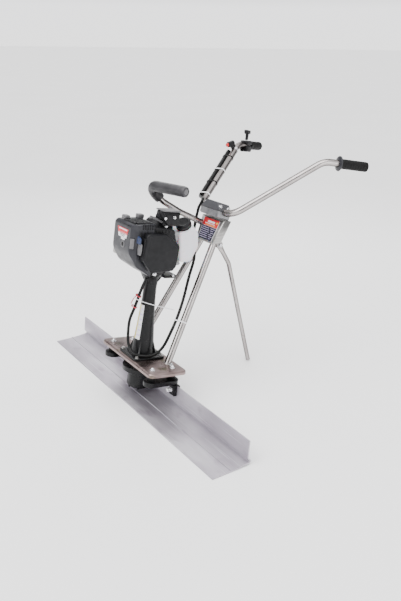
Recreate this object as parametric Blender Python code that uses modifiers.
"""Petrol power screed: an aluminium strike-off blade, a vibrating exciter and a small engine on a tubular frame.

Metres, +Z up. +X runs along the blade and +Y points to the operator. The origin is the
centre of the blade's flat sole. Everything above the blade leans back on the machine frame.
"""

import math

import bmesh
import bpy
from mathutils import Matrix, Vector

# Driving dimensions.
GAP = 0.0003
BLADE_LENGTH = 1.200
BLADE_SHEET = 0.004
BLADE_WALL_HEIGHT = 0.089
SOLE_HALF_WIDTH = 0.036

MACHINE_ORIGIN = (0.0, 0.0598, 0.158)
MACHINE_LEAN = math.radians(8.76)

PLATE_LENGTH = 0.376
PLATE_WIDTH = 0.158
PLATE_BACK_SHIFT = 0.0065
PLATE_DEPTH = 0.014
PLATE_SHEET = 0.003
ISOLATOR_X = 0.148
ISOLATOR_Y = 0.042

TUBE_RADIUS = 0.0125
TUBE_WALL = 0.0015
LEG_FOOT = (0.105, 0.049, 0.0)
LEG_TOP = (0.041, 0.223, 0.425)

BAR_AXIS = (0.0, 0.245, 0.551)
BAR_CORNER = (0.100, 0.3858, 0.6652)
BAR_BEND = (0.251, 0.674, 0.855)
BAR_END = (0.309, 0.828, 0.831)
GRIP_RADIUS = 0.018
GRIP_LENGTH = 0.112

STAND_PIVOT = (0.0, 0.283, 0.418)
STAND_KNEE = (0.0, 0.343, 0.345)
STAND_FOOT = (0.0, 0.5254, -0.0766)
STAND_RADIUS = 0.0085

SHAFT_RADIUS = 0.006
CRANK_RADIUS = 0.0075
CYLINDER_AXIS_Z = 0.405
FILTER_X = (0.0735, 0.100)
TANK_HALF_WIDTH = 0.058
CAP_SEAT = (0.033, 0.0900, 0.4940)
CAP_DIRECTION = (0.30, -0.55, 0.78)
BULB_SEAT = (0.085, -0.1070, 0.418)
CHOKE_PIVOT = (0.0845, -0.1122, 0.447)
HANDLE_CENTRE = (0.086, -0.030, 0.531)
CABLE_RADIUS = 0.0055
SWITCH_NOSE = Vector((0.0, -0.90, -0.20)).normalized()

for leftover in list(bpy.data.objects):
    bpy.data.objects.remove(leftover)

PARTS = bpy.data.collections.new("power_screed")
CUTTERS = bpy.data.collections.new("cutters")
bpy.context.scene.collection.children.link(PARTS)
bpy.context.scene.collection.children.link(CUTTERS)


def material(name, colour, roughness, metallic):
    made = bpy.data.materials.new(name)
    made.use_nodes = True
    shader = made.node_tree.nodes["Principled BSDF"]
    shader.inputs["Base Color"].default_value = (*colour, 1.0)
    shader.inputs["Roughness"].default_value = roughness
    shader.inputs["Metallic"].default_value = metallic
    return made


ALUMINIUM = material("mill_aluminium", (0.72, 0.71, 0.73), 0.35, 1.0)
CAST_ALUMINIUM = material("cast_aluminium", (0.50, 0.50, 0.50), 0.5, 0.9)
STAINLESS = material("polished_steel", (0.62, 0.58, 0.56), 0.2, 1.0)
STEEL = material("machined_steel", (0.55, 0.55, 0.56), 0.35, 1.0)
BLACK_CAST = material("black_casting", (0.015, 0.015, 0.016), 0.45, 0.2)
BLACK_PLASTIC = material("black_plastic", (0.02, 0.02, 0.023), 0.4, 0.0)
GREY_PLASTIC = material("grey_plastic", (0.07, 0.07, 0.075), 0.4, 0.0)
RUBBER = material("black_rubber", (0.018, 0.018, 0.018), 0.7, 0.0)
TANK_PLASTIC = material("tank_plastic", (0.78, 0.76, 0.80), 0.35, 0.0)
RED_PLASTIC = material("red_plastic", (0.60, 0.02, 0.03), 0.35, 0.0)
BLUE_PLASTIC = material("blue_plastic", (0.03, 0.10, 0.30), 0.4, 0.0)


def empty(name, location, rotation=(0.0, 0.0, 0.0), parent=None):
    made = bpy.data.objects.new(name, None)
    PARTS.objects.link(made)
    made.parent = parent
    made.location = location
    made.rotation_euler = rotation
    return made


MACHINE = empty("machine_frame", MACHINE_ORIGIN, (-MACHINE_LEAN, 0.0, 0.0))
MACHINE_MATRIX = Matrix.Translation(MACHINE_ORIGIN) @ Matrix.Rotation(-MACHINE_LEAN, 4, "X")
BAR_PIVOT = MACHINE_MATRIX @ Vector(BAR_AXIS)


def place(name, data, finish, parent=None, location=(0.0, 0.0, 0.0), rotation=(0.0, 0.0, 0.0)):
    """Adds an object to the parts, with its material."""
    made = bpy.data.objects.new(name, data)
    PARTS.objects.link(made)
    made.parent = parent
    made.location = location
    made.rotation_euler = rotation
    data.materials.append(finish)
    return made


def baked(obj):
    """Replaces a curve by the welded mesh that it evaluates to."""
    bpy.context.view_layer.update()
    evaluated = obj.evaluated_get(bpy.context.evaluated_depsgraph_get())
    mesh = bpy.data.meshes.new_from_object(evaluated)
    shape = bmesh.new()
    shape.from_mesh(mesh)
    bmesh.ops.remove_doubles(shape, verts=shape.verts, dist=0.000002)
    bmesh.ops.recalc_face_normals(shape, faces=shape.faces)
    shape.to_mesh(mesh)
    shape.free()
    name = obj.name
    parent, location, rotation = obj.parent, obj.location.copy(), obj.rotation_euler.copy()
    bpy.data.objects.remove(obj)
    made = bpy.data.objects.new(name, mesh)
    PARTS.objects.link(made)
    made.parent = parent
    made.location = location
    made.rotation_euler = rotation
    return made


def smooth(obj, angle=35.0):
    if obj.type == "MESH" and obj.data.polygons:
        obj.data.shade_smooth()
        obj.data.set_sharp_from_angle(angle=math.radians(angle))
    return obj


def box(name, low, high, finish, parent=MACHINE, origin=(0.0, 0.0, 0.0), bevel=0.0, segments=2):
    low, high, origin = Vector(low), Vector(high), Vector(origin)
    shape = bmesh.new()
    bmesh.ops.create_cube(shape, size=1.0)
    for vert in shape.verts:
        share = vert.co + Vector((0.5, 0.5, 0.5))
        vert.co = Vector(low[i] + share[i] * (high[i] - low[i]) for i in range(3)) - origin
    mesh = bpy.data.meshes.new(name)
    shape.to_mesh(mesh)
    shape.free()
    made = place(name, mesh, finish, parent, origin)
    if bevel:
        rounding = made.modifiers.new("edges", "BEVEL")
        rounding.width = bevel
        rounding.segments = segments
    return made


def turned(name, profile, finish, parent=MACHINE, origin=(0.0, 0.0, 0.0), rotation=(0.0, 0.0, 0.0),
           steps=24, closed=False):
    """Turns (radius, height) points, given down the outer side, about the object's Z axis."""
    mesh = bpy.data.meshes.new(name)
    count = len(profile)
    edges = [(i, i + 1) for i in range(count - 1)]
    if closed:
        edges.append((count - 1, 0))
    mesh.from_pydata([(radius, 0.0, height) for radius, height in profile], edges, [])
    made = place(name, mesh, finish, parent, origin, rotation)
    screw = made.modifiers.new("turn", "SCREW")
    screw.axis = "Z"
    screw.angle = math.tau
    screw.steps = steps
    screw.render_steps = steps
    screw.use_merge_vertices = True
    screw.merge_threshold = 0.00001
    screw.use_smooth_shade = True
    return made


def rod(name, radius, low, high, finish, parent=MACHINE, origin=(0.0, 0.0, 0.0),
        rotation=(0.0, 0.0, 0.0), steps=16):
    """A plain cylinder along the object's Z axis, between two heights."""
    profile = [(0.0, high), (radius, high), (radius, low), (0.0, low)]
    return turned(name, profile, finish, parent, origin, rotation, steps)


def ring(name, outer, inner, low, high, finish, parent=MACHINE, origin=(0.0, 0.0, 0.0),
         rotation=(0.0, 0.0, 0.0), steps=20):
    profile = [(outer, high), (outer, low), (inner, low), (inner, high)]
    return turned(name, profile, finish, parent, origin, rotation, steps, closed=True)


def rounded(corners, radii, steps=4):
    """A closed outline whose corners are arcs."""
    points = []
    count = len(corners)
    for index, corner in enumerate(corners):
        here = Vector(corner).to_2d()
        radius = radii[index] if isinstance(radii, (list, tuple)) else radii
        before = (Vector(corners[index - 1]).to_2d() - here).normalized()
        after = (Vector(corners[(index + 1) % count]).to_2d() - here).normalized()
        if radius <= 0.0:
            points.append(here)
            continue
        half = before.angle(after) / 2.0
        reach = radius / math.tan(half)
        centre = here + (before + after).normalized() * radius / math.sin(half)
        start = here + before * reach - centre
        end = here + after * reach - centre
        sweep = start.angle_signed(end)
        for step in range(steps + 1):
            turn = Matrix.Rotation(-sweep * step / steps, 2)
            points.append(centre + turn @ start)
    return points


PLANES = {
    "XY": Matrix.Identity(4),
    "YZ": Matrix(((0, 0, 1, 0), (1, 0, 0, 0), (0, 1, 0, 0), (0, 0, 0, 1))),
    "XZ": Matrix(((1, 0, 0, 0), (0, 0, -1, 0), (0, 1, 0, 0), (0, 0, 0, 1))),
}


def slab(name, outline, low, high, plane, finish, parent=MACHINE, rim=0.0):
    """An outline in the given plane, extruded from low to high, with its rims rounded by that radius."""
    curve = bpy.data.curves.new(name, "CURVE")
    curve.dimensions = "2D"
    curve.fill_mode = "BOTH"
    curve.extrude = (high - low) / 2.0 - rim
    curve.bevel_depth = rim
    curve.bevel_resolution = 1
    curve.offset = -rim
    spline = curve.splines.new("POLY")
    spline.points.add(len(outline) - 1)
    for point, spot in zip(spline.points, outline):
        point.co = (spot[0], spot[1], 0.0, 1.0)
    spline.use_cyclic_u = True
    made = baked(place(name, curve, finish))
    made.data.transform(PLANES[plane] @ Matrix.Translation((0.0, 0.0, (low + high) / 2.0)))
    made.data.update()
    made.parent = parent
    return made


def bent(corners, radii, steps=5):
    """The points of an open path whose inner corners are arcs."""
    points = [Vector(corners[0])]
    for index in range(1, len(corners) - 1):
        here = Vector(corners[index])
        before = (Vector(corners[index - 1]) - here).normalized()
        after = (Vector(corners[index + 1]) - here).normalized()
        half = before.angle(after) / 2.0
        radius = radii[index - 1]
        centre = here + (before + after).normalized() * radius / math.sin(half)
        start = here + before * radius / math.tan(half) - centre
        end = here + after * radius / math.tan(half) - centre
        axis = start.cross(end)
        sweep = start.angle(end)
        for step in range(steps + 1):
            points.append(centre + Matrix.Rotation(sweep * step / steps, 3, axis) @ start)
    points.append(Vector(corners[-1]))
    return points


def tube(name, points, radius, finish, parent=MACHINE, origin=(0.0, 0.0, 0.0), wall=0.0, sides=12):
    """A round tube along the points, hollow and open at its ends where it has a wall."""
    curve = bpy.data.curves.new(name, "CURVE")
    curve.dimensions = "3D"
    curve.bevel_depth = radius
    curve.bevel_resolution = (sides - 4) // 2
    curve.use_fill_caps = wall == 0.0
    spline = curve.splines.new("POLY")
    spline.points.add(len(points) - 1)
    for point, spot in zip(spline.points, points):
        point.co = (*(Vector(spot) - Vector(origin)), 1.0)
    made = place(name, curve, finish, parent, origin)
    if wall:
        skin = made.modifiers.new("wall", "SOLIDIFY")
        skin.thickness = wall
        skin.offset = -1.0
    return made


def smooth_route(points, spacing):
    """Evenly spaced points on a Catmull-Rom curve through the given ones."""
    spots = [Vector(point) for point in points]
    spots = [2 * spots[0] - spots[1], *spots, 2 * spots[-1] - spots[-2]]
    dense = []
    for a, b, c, d in zip(spots, spots[1:], spots[2:], spots[3:]):
        for step in range(20):
            t = step / 20.0
            dense.append(0.5 * (2 * b + (c - a) * t + (2 * a - 5 * b + 4 * c - d) * t * t
                                + (3 * b - a - 3 * c + d) * t ** 3))
    dense.append(spots[-2])
    total = sum((q - p).length for p, q in zip(dense, dense[1:]))
    count = max(2, round(total / spacing))
    kept, travelled, target = [dense[0]], 0.0, total / count
    for p, q in zip(dense, dense[1:]):
        step = (q - p).length
        while travelled + step >= target - 1e-9 and len(kept) < count:
            kept.append(p.lerp(q, (target - travelled) / step))
            target += total / count
        travelled += step
    return kept + [dense[-1]]


def combine(obj, other, operation):
    """Joins or cuts obj with another object, which moves to the cutters."""
    bool_step = obj.modifiers.new(operation.lower(), "BOOLEAN")
    bool_step.operation = operation
    bool_step.solver = "EXACT"
    bool_step.object = other
    if other.name not in CUTTERS.objects:
        PARTS.objects.unlink(other)
        CUTTERS.objects.link(other)
        other.hide_render = True
        other.display_type = "WIRE"
    return obj


def cut(obj, other):
    return combine(obj, other, "DIFFERENCE")


def join(obj, other):
    return combine(obj, other, "UNION")


def facing(direction):
    """The rotation that turns +Z to a direction."""
    return Vector(direction).to_track_quat("Z", "Y").to_euler()


# ---------------------------------------------------------------- blade and carriage

def make_blade():
    s = BLADE_SHEET
    h = BLADE_WALL_HEIGHT
    w = SOLE_HALF_WIDTH
    outer = [(-w, 0.0), (w, 0.0), (0.070, 0.0021), (0.090, 0.0042), (0.1035, 0.0062), (0.1090, 0.0082),
             (0.1118, 0.0122), (0.1112, 0.0170), (0.1075, 0.0218), (0.1030, 0.0265), (0.1018, 0.0320),
             (0.1072, h - 0.0004)]
    inner = [(0.1072 - s, h), (0.0978, 0.0322), (0.0986, 0.0250), (0.1030, 0.0195), (0.1068, 0.0160),
             (0.1072, 0.0138), (0.1050, 0.0115), (0.0985, 0.0098), (0.070, 0.0021 + s), (0.0400, s + 0.0004),
             (0.0386, 0.0066), (0.0362, 0.0070), (0.0344, 0.0064), (0.0336, s), (-w + 0.0015, s),
             (-w, s - 0.0015)]
    return slab("blade", outer + inner, -BLADE_LENGTH / 2, BLADE_LENGTH / 2, "YZ", ALUMINIUM, None)


def make_carriage():
    x_out, x_in = ISOLATOR_X + 0.027, ISOLATOR_X - 0.027
    y_out, y_in = ISOLATOR_Y + 0.027, 0.022
    corners = [(-x_out, -y_out), (-x_in, -y_out), (-x_in, -y_in), (x_in, -y_in), (x_in, -y_out),
               (x_out, -y_out), (x_out, y_out), (x_in, y_out), (x_in, y_in), (-x_in, y_in),
               (-x_in, y_out), (-x_out, y_out)]
    radii = [0.026, 0.026, 0.006, 0.006, 0.026, 0.026, 0.026, 0.022, 0.006, 0.006, 0.022, 0.026]
    body = slab("carriage", rounded(corners, radii), -0.058, -0.040, "XY", BLACK_CAST)
    hub = [(0.0, -0.041), (0.068, -0.041), (0.068, -0.0600), (0.0505, -0.0605), (0.0505, -0.0675),
           (0.0, -0.0675)]
    join(body, turned("carriage_hub", hub, BLACK_CAST, steps=32))
    cut(body, rod("carriage_bore", 0.016, -0.080, -0.030, BLACK_CAST))
    return smooth(body)


def make_exciter():
    can = [(0.045, -0.0678), (0.045, -0.1150), (0.0435, -0.1192), (0.0385, -0.1192), (0.0385, -0.0745),
           (0.0125, -0.0745), (0.0125, -0.0678)]
    turned("exciter_housing", can, BLACK_CAST, steps=28, closed=True)
    lid = [(0.0, -0.1195), (0.0115, -0.1195), (0.0115, -0.1115), (0.0175, -0.1115), (0.0185, -0.1195),
           (0.0425, -0.1195), (0.0400, -0.1240), (0.032, -0.1275), (0.0, -0.1275)]
    turned("exciter_cover", lid, BLACK_CAST, steps=28)
    ring("exciter_bearing", 0.0112, 0.0064, -0.1188, -0.1125, STEEL)
    arc = [math.radians(a) for a in range(180, 361, 15)]
    half = [(0.036 * math.cos(a), 0.036 * math.sin(a)) for a in arc] + [(0.010, 0.009), (-0.010, 0.009)]
    weight = slab("eccentric_weight", half, -0.108, -0.079, "XY", STEEL)
    cut(weight, rod("weight_bore", SHAFT_RADIUS + GAP, -0.130, -0.070, STEEL))


def make_isolators():
    corners = [(sx, sy) for sx in (1, -1) for sy in (-1, 1)]
    for number, (sx, sy) in enumerate(corners, 1):
        profile = [(0.0, -0.0033), (0.0135, -0.0033), (0.0150, -0.012), (0.0140, -0.0215), (0.0150, -0.031),
                   (0.0135, -0.0397), (0.0, -0.0397)]
        turned(f"isolator_{number}", profile, RUBBER, origin=(sx * ISOLATOR_X, sy * ISOLATOR_Y, 0.0), steps=16)


def make_jaws():
    """The two hooks that grip the blade's wall from above, each with its clamping screw."""
    to_machine = MACHINE_MATRIX.inverted()
    wall = to_machine @ Vector((0.0, 0.1072 - BLADE_SHEET / 2, BLADE_WALL_HEIGHT))
    slot = BLADE_SHEET / 2 + 0.0004
    lean = 0.057
    head_y = 0.026
    for side, sign in (("near", 1), ("far", -1)):
        x_low, x_high = sorted((sign * 0.152, sign * 0.180))
        middle = (x_low + x_high) / 2.0
        hook = [(wall.y - 0.0190, -0.0583), (wall.y + 0.0100, -0.0583), (wall.y + 0.0100, wall.z - 0.024),
                (wall.y + 0.024 * lean + slot, wall.z - 0.024), (wall.y + slot, wall.z + 0.0004),
                (wall.y - slot, wall.z + 0.0004), (wall.y + 0.038 * lean - slot, wall.z - 0.038),
                (wall.y - 0.0160, wall.z - 0.038)]
        jaw = slab(f"clamp_jaw_{side}", hook, x_low, x_high, "YZ", BLACK_CAST)
        height = wall.z - 0.015
        front = (middle, head_y, height)
        reach = wall.y + 0.015 * lean - BLADE_SHEET / 2 - head_y
        cut(jaw, rod(f"jaw_bore_{side}", 0.0043, 0.0, reach + 0.002, BLACK_CAST, origin=front,
                     rotation=(-math.pi / 2, 0.0, 0.0), steps=12))
        profile = [(0.0, reach - GAP), (0.0040, reach - GAP), (0.0040, 0.0), (0.0080, 0.0),
                   (0.0080, -0.0060), (0.0, -0.0060)]
        turned(f"clamp_bolt_{side}", profile, STEEL, origin=front, rotation=(-math.pi / 2, 0.0, 0.0), steps=12)


def make_plate():
    shape = bmesh.new()
    bmesh.ops.create_cube(shape, size=1.0)
    for vert in shape.verts:
        vert.co = Vector((vert.co.x * PLATE_LENGTH, vert.co.y * PLATE_WIDTH, (vert.co.z - 0.5) * PLATE_DEPTH))
        vert.co.y += PLATE_BACK_SHIFT
    uprights = [edge for edge in shape.edges if abs(edge.verts[0].co.z - edge.verts[1].co.z) > 0.001]
    bmesh.ops.bevel(shape, geom=uprights, offset=0.022, segments=4, profile=0.5, affect="EDGES")
    floor = [face for face in shape.faces if face.normal.z < -0.9]
    bmesh.ops.delete(shape, geom=floor, context="FACES_ONLY")
    rim = [edge for edge in shape.edges if all(abs(vert.co.z) < 1e-5 for vert in edge.verts)]
    bmesh.ops.bevel(shape, geom=rim, offset=0.008, segments=3, profile=0.5, affect="EDGES")
    mesh = bpy.data.meshes.new("base_plate")
    shape.to_mesh(mesh)
    shape.free()
    plate = place("base_plate", mesh, STAINLESS, MACHINE)
    skin = plate.modifiers.new("sheet", "SOLIDIFY")
    skin.thickness = PLATE_SHEET
    skin.offset = -1.0
    cut(plate, rod("plate_bore", 0.016, -0.010, 0.010, STAINLESS))
    return smooth(plate)


# ---------------------------------------------------------------- column, legs and bracket

def make_column():
    square = rounded([(-0.064, -0.064), (0.064, -0.064), (0.064, 0.064), (-0.064, 0.064)], 0.014)
    column = slab("column", square, GAP, 0.0085, "XY", BLACK_CAST)
    cone = [(0.0, 0.2747), (0.0245, 0.2747), (0.0235, 0.262), (0.0250, 0.215), (0.0320, 0.115),
            (0.0395, 0.035), (0.0460, 0.005), (0.0, 0.005)]
    join(column, turned("column_cone", cone, BLACK_CAST))
    cut(column, rod("column_bore", 0.0125, -0.010, 0.300, BLACK_CAST))
    ring("column_bearing", 0.0122, 0.0064, 0.2600, 0.2680, STEEL)
    return smooth(column)


def make_clutch_housing():
    bell = [(0.0475, 0.3300), (0.0475, 0.3240), (0.0445, 0.3180), (0.0335, 0.3040), (0.0260, 0.2920),
            (0.0245, 0.2750), (0.0125, 0.2750), (0.0125, 0.2990), (0.0305, 0.3045), (0.0410, 0.3190),
            (0.0440, 0.3300)]
    housing = turned("clutch_housing", bell, BLACK_CAST, closed=True)
    shelf = rounded([(-0.040, 0.0330), (0.040, 0.0330), (0.040, 0.088), (-0.040, 0.088)], [0.0, 0.0, 0.02, 0.02])
    join(housing, slab("housing_shelf", shelf, 0.3035, 0.3125, "XY", BLACK_CAST))
    return housing


def make_legs():
    foot, top = Vector(LEG_FOOT), Vector(LEG_TOP)
    along = (top - foot).normalized()
    ends = [foot - along * 0.015, top + along * 0.030]
    below = box("leg_floor", (-0.30, -0.10, -0.10), (0.30, 0.20, GAP), STEEL)
    above = box("leg_ceiling", (-0.30, -0.05, 0.0), (0.30, 0.10, 0.10), STEEL)
    above.location = (0.0, 0.218, 0.4319)
    above.rotation_euler = (math.atan2(0.006, 0.041), 0.0, 0.0)
    for side, sign in (("near", 1), ("far", -1)):
        points = [Vector((sign * end.x, end.y, end.z)) for end in ends]
        leg = baked(tube(f"leg_{side}", points, TUBE_RADIUS, STAINLESS, wall=TUBE_WALL, sides=16))
        cut(leg, below)
        cut(leg, above)
        smooth(leg)


def make_bracket():
    """The open-topped box that joins the legs, with the two ears that carry the stand."""
    low_front, low_back = (0.209, 0.431), (0.250, 0.437)
    top_front, top_back = (0.237, 0.5215), (0.272, 0.5215)
    shape = bmesh.new()
    bmesh.ops.create_cube(shape, size=2.0)
    for vert in shape.verts:
        top = vert.co.z > 0
        (front, back), half = ((top_front, top_back), 0.070) if top else ((low_front, low_back), 0.055)
        y, z = back if vert.co.y > 0 else front
        vert.co = Vector((math.copysign(half, vert.co.x), y, z))
    lid = [face for face in shape.faces if face.normal.z > 0.9 or min(v.co.z for v in face.verts) > 0.52]
    bmesh.ops.delete(shape, geom=lid, context="FACES_ONLY")
    mesh = bpy.data.meshes.new("bracket_box")
    shape.to_mesh(mesh)
    shape.free()
    bracket = place("bracket_box", mesh, STAINLESS, MACHINE)
    skin = bracket.modifiers.new("sheet", "SOLIDIFY")
    skin.thickness = 0.003
    skin.offset = -1.0
    skin.use_even_offset = True
    ear = [(0.2480, 0.4400), (0.2520, 0.4640), (0.2640, 0.4580), (0.2960, 0.4240), (0.2940, 0.4090),
           (0.2830, 0.4050), (0.2740, 0.4090), (0.2640, 0.4300)]
    for side, sign in (("near", 1), ("far", -1)):
        low, high = sorted((sign * 0.0050, sign * 0.0080))
        join(bracket, slab(f"bracket_ear_{side}", ear, low, high, "YZ", STAINLESS))
    cut(bracket, rod("ear_bore", 0.0045, -0.020, 0.020, STAINLESS, origin=STAND_PIVOT,
                     rotation=(0.0, math.pi / 2, 0.0), steps=12))
    return bracket


def make_clamp():
    """The two cast halves that grip the handlebar on top of the bracket."""
    lean = math.radians(-12.0)
    frame = empty("bar_clamp_frame", BAR_AXIS, (lean, 0.0, 0.0), MACHINE)
    bar = rod("bar_bore", TUBE_RADIUS + GAP, -0.10, 0.10, CAST_ALUMINIUM, frame,
              rotation=(0.0, math.pi / 2, 0.0), steps=24)
    cap = [(-0.057, 0.0008), (0.057, 0.0008), (0.057, 0.006), (0.0320, 0.0305), (-0.0320, 0.0305), (-0.057, 0.006)]
    upper = slab("clamp_cap", cap[::-1], -0.0285, 0.0285, "XZ", CAST_ALUMINIUM, frame)
    upper.location = (0.0, 0.0, 0.0)
    cut(upper, bar)
    base = [(-0.057, -0.0008), (0.057, -0.0008), (0.057, -0.0215), (0.048, -0.0245), (-0.048, -0.0245),
            (-0.057, -0.0215)]
    lower = slab("clamp_base", base, -0.0285, 0.0285, "XZ", CAST_ALUMINIUM, frame)
    lower.location = (0.0, 0.0, 0.0)
    cut(lower, bar)


def make_stand():
    pivot, knee, foot = Vector(STAND_PIVOT), Vector(STAND_KNEE), Vector(STAND_FOOT)
    along = (knee - pivot).normalized()
    start = pivot - along * 0.011
    line = bent([start, pivot + along * 0.012, knee, foot], [0.02, 0.055])
    line.insert(1, pivot)
    stand = baked(tube("kickstand", line, STAND_RADIUS, STAINLESS, origin=STAND_PIVOT))
    across = Vector((0.0, -along.z, along.y))
    flat_end, round_from = 0.014, 0.040
    for vert in stand.data.vertices:
        reach = vert.co.dot(along)
        share = min(1.0, max(0.0, (round_from - reach) / (round_from - flat_end)))
        if vert.co.length > 0.06:
            share = 0.0
        vert.co.x *= 1.0 - 0.55 * share
        vert.co += across * vert.co.dot(across) * 0.35 * share
    cut(stand, rod("stand_bore", 0.0045, -0.020, 0.020, STAINLESS, origin=STAND_PIVOT,
                   rotation=(0.0, math.pi / 2, 0.0), steps=12))
    bolt = [(0.0, 0.0150), (0.0070, 0.0150), (0.0070, 0.0084), (0.0040, 0.0084), (0.0040, -0.0130), (0.0, -0.0130)]
    turned("stand_bolt", bolt, STEEL, origin=STAND_PIVOT, rotation=(0.0, math.pi / 2, 0.0), steps=12)
    return smooth(stand)


def make_lift_handle():
    corners = [(-0.0467, 0.2205, 0.4949), (-0.055, 0.121, 0.530), (-0.063, 0.047, 0.565),
               (-0.089, -0.007, 0.617), (0.075, 0.045, 0.622)]
    line = bent(corners, [0.15, 0.05, 0.026])
    tube("lift_tube", line, 0.0110, STAINLESS, wall=0.0015)
    foam_line = bent([Vector(corners[2]).lerp(Vector(corners[3]), 0.12), corners[3], (0.082, 0.0467, 0.6222)],
                     [0.026], steps=6)
    foam = baked(tube("lift_grip", foam_line, 0.0198, RUBBER, sides=16))
    core_line = line[:-1] + [line[-1].lerp(line[-2], -0.01)]
    core = baked(tube("grip_core", core_line, 0.0116, RUBBER, sides=16))
    core.data.materials.clear()
    cut(foam, core)
    return smooth(foam)


# ---------------------------------------------------------------- engine

def make_fan_cover():
    cup = [(0.0560, 0.3650), (0.0560, 0.3380), (0.0520, 0.3303), (0.0110, 0.3303), (0.0110, 0.3335),
           (0.0500, 0.3350), (0.0510, 0.3650)]
    turned("fan_cover", cup, BLACK_PLASTIC, closed=True)


def make_crankcase():
    case = box("crankcase", (-0.042, -0.0480, 0.3653), (0.042, 0.050, 0.4450), CAST_ALUMINIUM)
    chamber = rod("crank_chamber", 0.0345, 0.3740, 0.4370, CAST_ALUMINIUM, steps=24)
    cut(case, chamber)
    cut(case, rod("journal_bore", CRANK_RADIUS + 0.0005, 0.350, 0.460, CAST_ALUMINIUM))
    cut(case, rod("barrel_mouth", 0.0176, 0.0, 0.060, CAST_ALUMINIUM, origin=(0.0, 0.0, CYLINDER_AXIS_Z),
                  rotation=(math.pi / 2, 0.0, 0.0), steps=20))


def make_cylinder():
    profile = [(0.0, 0.1020), (0.0300, 0.1020)]
    fins = 5
    for fin in range(fins):
        far = 0.0960 - fin * 0.0090
        profile += [(0.0300, far), (0.0240, far - 0.001), (0.0240, far - 0.0055), (0.0300, far - 0.0065)]
    profile += [(0.0300, 0.0483), (0.0176, 0.0483), (0.0176, 0.0940), (0.0, 0.0940)]
    turned("cylinder", profile, CAST_ALUMINIUM, origin=(0.0, 0.0, CYLINDER_AXIS_Z),
           rotation=(math.pi / 2, 0.0, 0.0), steps=20)
    piston = [(0.0, 0.0880), (0.0172, 0.0880), (0.0172, 0.0560), (0.0140, 0.0560), (0.0140, 0.0830), (0.0, 0.0830)]
    turned("piston", piston, CAST_ALUMINIUM, origin=(0.0, 0.0, CYLINDER_AXIS_Z),
           rotation=(math.pi / 2, 0.0, 0.0), steps=20)
    plug = [(0.0, 0.1260), (0.0060, 0.1260), (0.0070, 0.1180), (0.0095, 0.1120), (0.0095, 0.1060),
            (0.0050, 0.1055), (0.0050, 0.1023), (0.0, 0.1023)]
    turned("spark_plug", plug, BLACK_PLASTIC, origin=(0.0, 0.0, CYLINDER_AXIS_Z),
           rotation=(math.pi / 2, 0.0, 0.0), steps=14)


def make_engine_cover():
    """The hollow cover over the cylinder, open towards the crankcase."""
    side = rounded([(-0.135, 0.500), (-0.135, 0.400), (-0.107, 0.353), (-0.045, 0.317), (-0.045, 0.505)],
                   [0.016, 0.045, 0.045, 0.0, 0.0], 4)
    cover = slab("engine_cover", side, -0.070, 0.070, "YZ", GREY_PLASTIC, rim=0.009)
    plan = [(-0.080, -0.150), (0.038, -0.150), (0.080, -0.103), (0.080, 0.0), (-0.080, 0.0)]
    combine(cover, slab("cover_plan", plan, 0.29, 0.53, "XY", GREY_PLASTIC), "INTERSECT")
    hollow_side = rounded([(-0.1315, 0.4965), (-0.1315, 0.402), (-0.1045, 0.3570), (-0.030, 0.3135),
                           (-0.030, 0.5015)], [0.013, 0.042, 0.042, 0.0, 0.0], 4)
    hollow = slab("cover_hollow", hollow_side, -0.0660, 0.0660, "YZ", GREY_PLASTIC, rim=0.006)
    inner_plan = [(-0.080, -0.150), (0.0330, -0.150), (0.0750, -0.103), (0.080, 0.1), (-0.080, 0.1)]
    combine(hollow, slab("hollow_plan", inner_plan, 0.29, 0.53, "XY", GREY_PLASTIC), "INTERSECT")
    cut(cover, hollow)
    cut(cover, box("cover_mouth", (-0.10, -0.0575, 0.28), (0.10, 0.0, 0.55), GREY_PLASTIC))
    return smooth(cover)


def make_tank_bracket():
    """The folded strip that carries the tank, from the back of the crankcase to under the tank."""
    fold = [(0.0503, 0.412), (0.0503, 0.3683), (0.0600, 0.3683), (0.0600, 0.3621), (0.1200, 0.3621),
            (0.1200, 0.3656), (0.0635, 0.3656), (0.0635, 0.3715), (0.0535, 0.3715), (0.0535, 0.412)]
    slab("tank_bracket", fold, -0.030, 0.030, "YZ", STEEL)


def make_muffler():
    body = box("muffler", (-0.1040, -0.112, 0.365), (-0.0705, -0.034, 0.440), STEEL, bevel=0.006)
    cut(body, rod("muffler_outlet", 0.0055, -0.020, 0.016, STEEL, origin=(-0.104, -0.060, 0.385),
                  rotation=(0.0, math.pi / 2, 0.0), steps=10))


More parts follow.
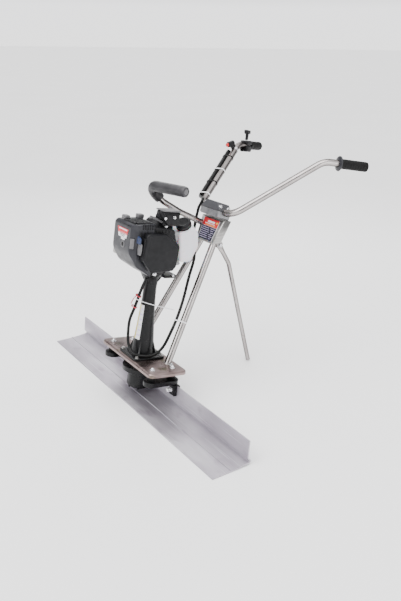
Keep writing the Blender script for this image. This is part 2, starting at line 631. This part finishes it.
def make_intake():
    """Carburettor, air filter and its cover on the near side of the crankcase."""
    block = box("carburettor", (0.0425, -0.022, 0.385), (0.0700, 0.018, 0.425), CAST_ALUMINIUM, bevel=0.003)
    cut(block, rod("carburettor_bore", 0.0065, 0.0, 0.050, CAST_ALUMINIUM, origin=(0.035, 0.000, 0.405),
                   rotation=(0.0, math.pi / 2, 0.0), steps=14))
    outline = rounded([(-0.095, 0.476), (-0.013, 0.477), (0.041, 0.437), (0.036, 0.364), (0.023, 0.347),
                       (-0.064, 0.340), (-0.104, 0.388)], [0.014, 0.020, 0.014, 0.010, 0.010, 0.014, 0.014], 3)
    cover = slab("air_filter_cover", outline, FILTER_X[0], FILTER_X[1], "YZ", BLACK_PLASTIC, rim=0.005)
    inner = rounded([(-0.090, 0.472), (-0.014, 0.473), (0.037, 0.435), (0.032, 0.366), (0.021, 0.351),
                     (-0.062, 0.344), (-0.100, 0.389)], [0.012, 0.018, 0.012, 0.008, 0.008, 0.012, 0.012], 3)
    cut(cover, slab("filter_hollow", inner, FILTER_X[0] - 0.005, FILTER_X[1] - 0.0035, "YZ", BLACK_PLASTIC))
    join(cover, box("control_block", (0.0740, -0.1085, 0.405), (0.0960, -0.0965, 0.460), BLACK_PLASTIC))
    cut(cover, rod("bulb_well", 0.0088, -0.0052, 0.010, BLACK_PLASTIC, origin=BULB_SEAT,
                   rotation=(math.pi / 2, 0.0, 0.0)))
    box("air_filter", (0.0745, -0.072, 0.366), (0.0900, 0.012, 0.450), RUBBER)
    dome = [(0.0, 0.0110), (0.0045, 0.0100), (0.0075, 0.0065), (0.0084, 0.0), (0.0, 0.0)]
    turned("primer_bulb", dome, RUBBER, origin=BULB_SEAT, rotation=(math.pi / 2, 0.0, 0.0), steps=14)
    lever = rounded([(-0.012, -0.006), (0.012, -0.006), (0.012, 0.014), (-0.008, 0.020)],
                    [0.004, 0.004, 0.005, 0.004], 2)
    choke = slab("choke_lever", lever, -0.003, 0.003, "XZ", BLUE_PLASTIC)
    choke.location = CHOKE_PIVOT


def make_tank():
    side = rounded([(0.0585, 0.4690), (0.0770, 0.366), (0.126, 0.366), (0.150, 0.425), (0.143, 0.475),
                    (0.112, 0.5065)], [0.013, 0.016, 0.018, 0.030, 0.018, 0.013], 3)
    tank = slab("fuel_tank", side, -TANK_HALF_WIDTH, TANK_HALF_WIDTH, "YZ", TANK_PLASTIC, rim=0.011)
    inner = rounded([(0.0630, 0.4675), (0.0807, 0.370), (0.1232, 0.370), (0.1457, 0.425), (0.1390, 0.472),
                     (0.1115, 0.5010)], [0.010, 0.012, 0.015, 0.026, 0.014, 0.010], 3)
    cut(tank, slab("tank_hollow", inner, -TANK_HALF_WIDTH + 0.004, TANK_HALF_WIDTH - 0.004, "YZ", TANK_PLASTIC,
                   rim=0.008))
    tilt = facing(CAP_DIRECTION)
    join(tank, rod("tank_neck", 0.0230, -0.022, 0.0015, TANK_PLASTIC, origin=CAP_SEAT, rotation=tilt, steps=24))
    cut(tank, rod("tank_mouth", 0.017, -0.030, 0.020, TANK_PLASTIC, origin=CAP_SEAT, rotation=tilt))
    cap = [(0.0, 0.0215), (0.0210, 0.0215), (0.0275, 0.0185), (0.0285, 0.0145), (0.0285, 0.0020),
           (0.0150, 0.0020), (0.0150, -0.0060), (0.0, -0.0060)]
    turned("fuel_cap", cap, BLACK_PLASTIC, origin=CAP_SEAT, rotation=tilt)
    return smooth(tank)


def make_recoil():
    profile = [(0.0, 0.5130), (0.0340, 0.5130), (0.0400, 0.5080), (0.0440, 0.5020), (0.0540, 0.4920),
               (0.0560, 0.4453), (0.0, 0.4453)]
    housing = turned("recoil_housing", profile, BLACK_PLASTIC, steps=28)
    join(housing, box("starter_bracket", (0.014, -0.020, 0.4985), (0.066, 0.050, 0.5530), BLACK_PLASTIC))
    cut(housing, rod("recoil_hollow", 0.0385, 0.430, 0.489, BLACK_PLASTIC, steps=24))
    groove = [(0.0360, 0.4860), (0.0360, 0.4830), (0.0310, 0.4815), (0.0310, 0.4770), (0.0360, 0.4755),
              (0.0360, 0.4725), (0.0100, 0.4725), (0.0100, 0.4860)]
    turned("starter_pulley", groove, BLACK_PLASTIC, closed=True)
    grip = rounded([(-0.031, -0.0085), (0.031, -0.0085), (0.031, 0.0085), (-0.031, 0.0085)], 0.0080, 3)
    handle = slab("starter_handle", grip, -0.008, 0.008, "XY", BLACK_PLASTIC)
    across = Vector((0.0, 0.67, -0.74)).normalized()
    outward = Vector((1.0, 0.0, 0.0))
    frame = Matrix((across, outward.cross(across), outward)).transposed()
    handle.rotation_euler = frame.to_euler()
    handle.location = HANDLE_CENTRE


# ---------------------------------------------------------------- rotating pieces

def make_crank():
    axis = [(0.0, 0.3950), (0.0290, 0.3950), (0.0290, 0.3870), (CRANK_RADIUS, 0.3870), (CRANK_RADIUS, 0.3560),
            (0.0055, 0.3540), (0.0055, 0.3290), (0.0220, 0.3290), (0.0220, 0.3245), (0.0055, 0.3245),
            (0.0055, 0.3030), (0.0, 0.3030)]
    crank = turned("crankshaft", axis, STEEL)
    upper = [(0.0, 0.4710), (0.0060, 0.4710), (CRANK_RADIUS, 0.4640), (CRANK_RADIUS, 0.4230), (0.0290, 0.4230),
             (0.0290, 0.4150), (0.0, 0.4150)]
    join(crank, turned("crank_upper", upper, STEEL))
    join(crank, rod("crank_pin", 0.0065, 0.3930, 0.4170, STEEL, origin=(0.0, -0.014, 0.0)))
    wheel = [(0.0470, 0.3520), (0.0470, 0.3400), (0.0120, 0.3370), (0.0058, 0.3370), (0.0058, 0.3500),
             (0.0200, 0.3580), (0.0300, 0.3500)]
    turned("flywheel", wheel, CAST_ALUMINIUM, closed=True)
    for number, start in ((1, 20), (2, 200)):
        outside = [math.radians(start + a) for a in range(0, 141, 20)]
        shoe = [(0.0265 * math.cos(a), 0.0265 * math.sin(a)) for a in outside]
        shoe += [(0.0120 * math.cos(a), 0.0120 * math.sin(a)) for a in reversed(outside)]
        slab(f"clutch_shoe_{number}", shoe, 0.3130, 0.3240, "XY", STEEL)


def make_driven():
    drum = [(0.0295, 0.3255), (0.0295, 0.3090), (0.0160, 0.3020), (0.0063, 0.3020), (0.0063, 0.3060),
            (0.0150, 0.3080), (0.0272, 0.3110), (0.0272, 0.3255)]
    turned("clutch_drum", drum, STEEL, closed=True)
    rod("drive_shaft", SHAFT_RADIUS, -0.1185, 0.3023 - GAP, STEEL)


# ---------------------------------------------------------------- handlebar and controls

def bar_point(sign, spot):
    return Vector((sign * spot[0], spot[1], spot[2]))


def make_handlebar():
    corners = [bar_point(-1, BAR_END), bar_point(-1, BAR_BEND), bar_point(-1, BAR_CORNER),
               bar_point(1, BAR_CORNER), bar_point(1, BAR_BEND), bar_point(1, BAR_END)]
    line = bent(corners, [0.070, 0.064, 0.064, 0.070], 6)
    tube("handlebar", line, TUBE_RADIUS, STAINLESS, None, origin=BAR_PIVOT, wall=TUBE_WALL)


def grip_frame(sign):
    """The origin and direction of one end of the bar, from its bend to its end."""
    bend, end = bar_point(sign, BAR_BEND), bar_point(sign, BAR_END)
    return end, (end - bend).normalized()


def make_grips():
    inner = TUBE_RADIUS + GAP
    for side, sign in (("near", 1), ("far", -1)):
        end, along = grip_frame(sign)
        reach = 0.004
        profile = [(0.0, reach), (GRIP_RADIUS - 0.004, reach), (GRIP_RADIUS, -0.001), (GRIP_RADIUS, -GRIP_LENGTH + 0.010)]
        if side == "near":
            profile += [(0.0270, -GRIP_LENGTH + 0.007), (0.0270, -GRIP_LENGTH + 0.002), (0.0200, -GRIP_LENGTH)]
        else:
            profile = [(r, h if h > -0.05 else -0.085) for r, h in profile]
        bottom = profile[-1][1]
        profile += [(inner, bottom), (inner, GAP), (0.0, GAP)]
        turned(f"grip_{side}", profile, RUBBER, None, origin=end, rotation=facing(along), steps=20)


def make_controls():
    end, along = grip_frame(-1)
    sideways = Vector((0.0, 0.0, 1.0)).cross(along).normalized()
    upward = along.cross(sideways)
    frame = Matrix((sideways, upward, along)).transposed().to_4x4()
    angles = frame.to_euler()
    centre = end - along * 0.1065
    housing = box("throttle_housing", (-0.019, -0.027, -0.019), (0.019, 0.019, 0.020), BLACK_PLASTIC, None,
                  bevel=0.006)
    housing.location = centre
    housing.rotation_euler = angles
    bore = rod("housing_bore", TUBE_RADIUS + GAP, -0.06, 0.06, BLACK_PLASTIC, None, origin=centre,
               rotation=angles, steps=20)
    cut(housing, bore)
    pivot = centre + upward * 0.0242
    lever_outline = rounded([(-0.0038, -0.0038), (0.0038, -0.0038), (0.006, 0.024), (0.013, 0.028), (0.013, 0.040),
                             (-0.011, 0.042), (-0.011, 0.030), (-0.004, 0.024)],
                            [0.0035, 0.0035, 0.003, 0.004, 0.004, 0.004, 0.004, 0.003], 3)
    lever = slab("throttle_lever", lever_outline, -0.006, 0.006, "XZ", BLACK_PLASTIC, None)
    lever.location = pivot
    turn = Matrix((along, sideways, upward)).transposed()
    lever.rotation_euler = turn.to_euler()
    bar_bend, bar_corner = bar_point(-1, BAR_BEND), bar_point(-1, BAR_CORNER)
    down_arm = (bar_corner - bar_bend).normalized()
    spot = bar_bend + down_arm * 0.038
    out = Vector((0.0, -0.62, 0.78))
    out = (out - down_arm * out.dot(down_arm)).normalized()
    switch_at = spot + out * 0.0335
    switch = rod("stop_switch", 0.0110, -0.012, 0.017, BLACK_PLASTIC, None, origin=switch_at,
                 rotation=facing(SWITCH_NOSE))
    foot = box("switch_foot", (-0.007, -0.010, -0.014), (0.007, 0.010, 0.008), BLACK_PLASTIC, None)
    foot.location = spot + out * 0.0210
    foot.rotation_euler = facing(out)
    join(switch, foot)
    strap_cut = rod("switch_bar_cut", TUBE_RADIUS + GAP, -0.05, 0.05, BLACK_PLASTIC, None, origin=spot,
                    rotation=facing(down_arm), steps=20)
    cut(switch, strap_cut)
    cut(switch, rod("button_well", 0.0080, 0.0120, 0.030, BLACK_PLASTIC, None, origin=switch_at,
                    rotation=facing(SWITCH_NOSE)))
    button = [(0.0, 0.0085), (0.0060, 0.0085), (0.0075, 0.0065), (0.0075, 0.0), (0.0, 0.0)]
    turned("stop_button", button, RED_PLASTIC, None, origin=switch_at + SWITCH_NOSE * 0.0167,
           rotation=facing(SWITCH_NOSE), steps=16)


def cable_routes():
    """The sleeve's route: along the far arm, past the clamp, then down the frame to the engine."""
    bend, corner = bar_point(-1, BAR_BEND), bar_point(-1, BAR_CORNER)
    along = (corner - bend).normalized()
    beside = Vector((-0.0105, -0.0155, -0.0035))
    beside = (beside - along * beside.dot(along)).normalized() * (TUBE_RADIUS + CABLE_RADIUS + 0.0006)
    upper = [bend.lerp(corner, share) + beside for share in (0.15, 0.30, 0.50, 0.70)]
    upper.append(bend.lerp(corner, 0.87) + beside * 1.35)
    upper.append(MACHINE_MATRIX @ Vector((-0.0705, 0.2300, 0.5790)))
    upper.append(MACHINE_MATRIX @ Vector((-0.0725, 0.2190, 0.5500)))
    lower = [(-0.0727, 0.2170, 0.5405), (-0.0740, 0.2140, 0.5100), (-0.0700, 0.2080, 0.4600),
             (-0.0500, 0.1935, 0.4150), (-0.0150, 0.1880, 0.3700), (0.0180, 0.1520, 0.2980),
             (0.0420, 0.1230, 0.2170), (0.0620, 0.0930, 0.1570), (0.0740, 0.0690, 0.1160),
             (0.0740, 0.0420, 0.0550), (0.0690, 0.0120, 0.0250), (0.0560, -0.0260, 0.0160),
             (0.0320, -0.0560, 0.0190), (0.0060, -0.0640, 0.0420), (-0.0080, -0.0640, 0.0770),
             (-0.0090, -0.0640, 0.1350), (0.0020, -0.0560, 0.1860), (0.0130, -0.0420, 0.2620),
             (0.0330, -0.0400, 0.3050)]
    return upper, [MACHINE_MATRIX @ Vector(spot) for spot in lower]


def make_cable():
    upper, lower = cable_routes()
    tube("control_cable_upper", smooth_route(upper, 0.022), CABLE_RADIUS, RUBBER, None, origin=BAR_PIVOT, sides=8)
    tube("control_cable_lower", smooth_route(lower, 0.018), CABLE_RADIUS, RUBBER, None, sides=8)


def build():
    make_blade()
    make_carriage()
    make_exciter()
    make_isolators()
    make_jaws()
    make_plate()
    make_column()
    make_clutch_housing()
    make_legs()
    make_bracket()
    make_clamp()
    make_stand()
    make_lift_handle()
    make_fan_cover()
    make_crankcase()
    make_cylinder()
    make_engine_cover()
    make_tank_bracket()
    make_muffler()
    make_intake()
    make_tank()
    make_recoil()
    make_crank()
    make_driven()
    make_handlebar()
    make_grips()
    make_controls()
    make_cable()


build()
